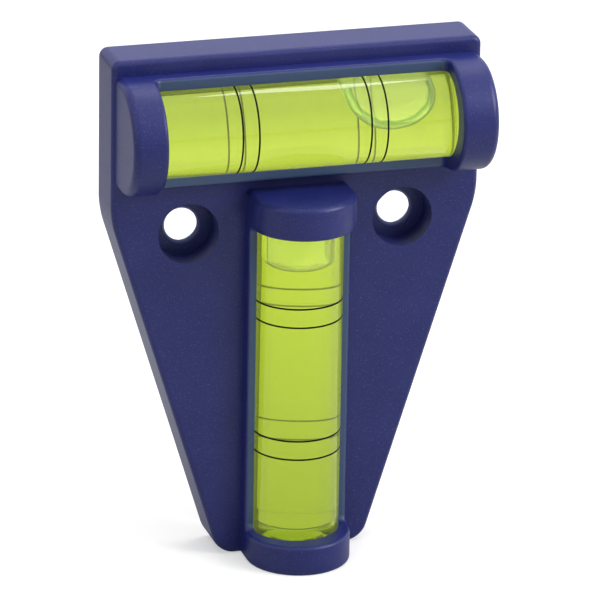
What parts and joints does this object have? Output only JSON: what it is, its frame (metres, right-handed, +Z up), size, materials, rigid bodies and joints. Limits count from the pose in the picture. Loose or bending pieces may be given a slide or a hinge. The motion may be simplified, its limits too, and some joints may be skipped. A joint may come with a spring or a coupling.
{
  "type": "post level",
  "caption": "Small T-shaped two-way level: a moulded body with a horizontal vial across the top, a plumb vial down the stem and countersunk screw holes.",
  "frame": {"origin": "on the floor under the middle of the body's width and depth, at the lower end of the stem", "axes": "+Z up the stem towards the cross vial, -Y out of the front, +X to the right seen from the front"},
  "size_m": [0.05, 0.017, 0.07],
  "materials": {
    "body_plastic": "satin moulded, dark violet-blue",
    "vial_acrylic": "clear, yellow-green tint, polished",
    "plug_acrylic": "clear, yellow-green tint",
    "vial_liquid": "clear yellow-green liquid",
    "bubble_air": "air in liquid",
    "line_ink": "printed black ink"
  },
  "bodies": {
    "level": {"body": "body_plastic", "cross_vial_tube": "vial_acrylic", "cross_vial_plug": "plug_acrylic", "cross_vial_liquid": "vial_liquid", "cross_line_low_outer": "line_ink", "cross_line_low_inner": "line_ink", "cross_line_high_inner": "line_ink", "cross_line_high_outer": "line_ink", "stem_vial_tube": "vial_acrylic", "stem_vial_plug": "plug_acrylic", "stem_vial_liquid": "vial_liquid", "stem_line_low_outer": "line_ink", "stem_line_low_inner": "line_ink", "stem_line_high_inner": "line_ink", "stem_line_high_outer": "line_ink"},
    "cross_bubble": {"cross_vial_bubble": "bubble_air"},
    "stem_bubble": {"stem_vial_bubble": "bubble_air"}
  },
  "joints": [
    {"name": "cross_bubble_slide", "type": "slide", "parent": "level", "child": "cross_bubble", "axis": [1, 0, 0], "range_m": [-0.0239, 0.0021], "deforming": ["cross_vial_liquid"]},
    {"name": "stem_bubble_slide", "type": "slide", "parent": "level", "child": "stem_bubble", "axis": [0, 0, 1], "range_m": [-0.0345, 0], "stiffness_N_per_m": 0.3, "springref_m": 0.03, "deforming": ["stem_vial_liquid"]}
  ]
}
